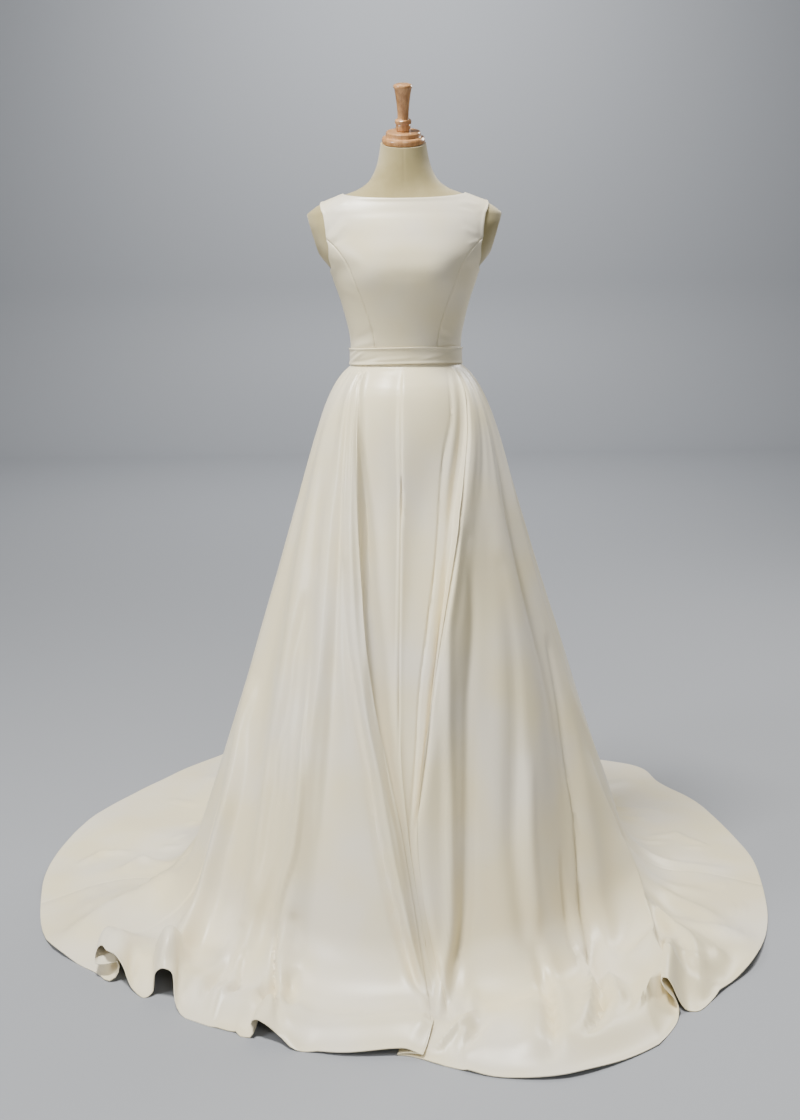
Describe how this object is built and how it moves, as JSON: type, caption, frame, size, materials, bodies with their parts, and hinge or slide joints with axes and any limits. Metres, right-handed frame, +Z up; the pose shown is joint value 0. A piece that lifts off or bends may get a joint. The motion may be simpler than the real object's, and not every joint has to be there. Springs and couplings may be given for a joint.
{
  "type": "wedding dress on a dress form",
  "caption": "Sleeveless A-line wedding dress of heavy satin with a boat neck, narrow belt, pleated skirt and sweep train, on a limbless dress form with a wooden neck cap.",
  "frame": {"origin": "centre of the stand's flat foot on the floor, below the form's axis", "axes": "+Z up, the dress faces -Y, +X is to the right of someone who looks at its front"},
  "size_m": [1.5025, 1.6307, 1.6578],
  "materials": {
    "satin": "heavy ivory satin with a soft sheen",
    "form_cover": "matt cream jersey",
    "wood": "varnished turned beech",
    "stand_metal": "satin black"
  },
  "bodies": {
    "root": {"bodice_front": "satin", "bodice_side_front_left": "satin", "bodice_side_front_right": "satin", "bodice_side_back_left": "satin", "bodice_side_back_right": "satin", "bodice_back_left": "satin", "bodice_back_right": "satin", "back_zip": "satin", "waist_belt": "satin", "skirt_front": "satin", "skirt_back_left": "satin", "skirt_back_right": "satin", "form_body": "form_cover", "neck_cap": "wood", "finial": "wood", "form_plug": "wood", "stand_pole": "stand_metal", "stand_base": "stand_metal"}
  },
  "joints": []
}
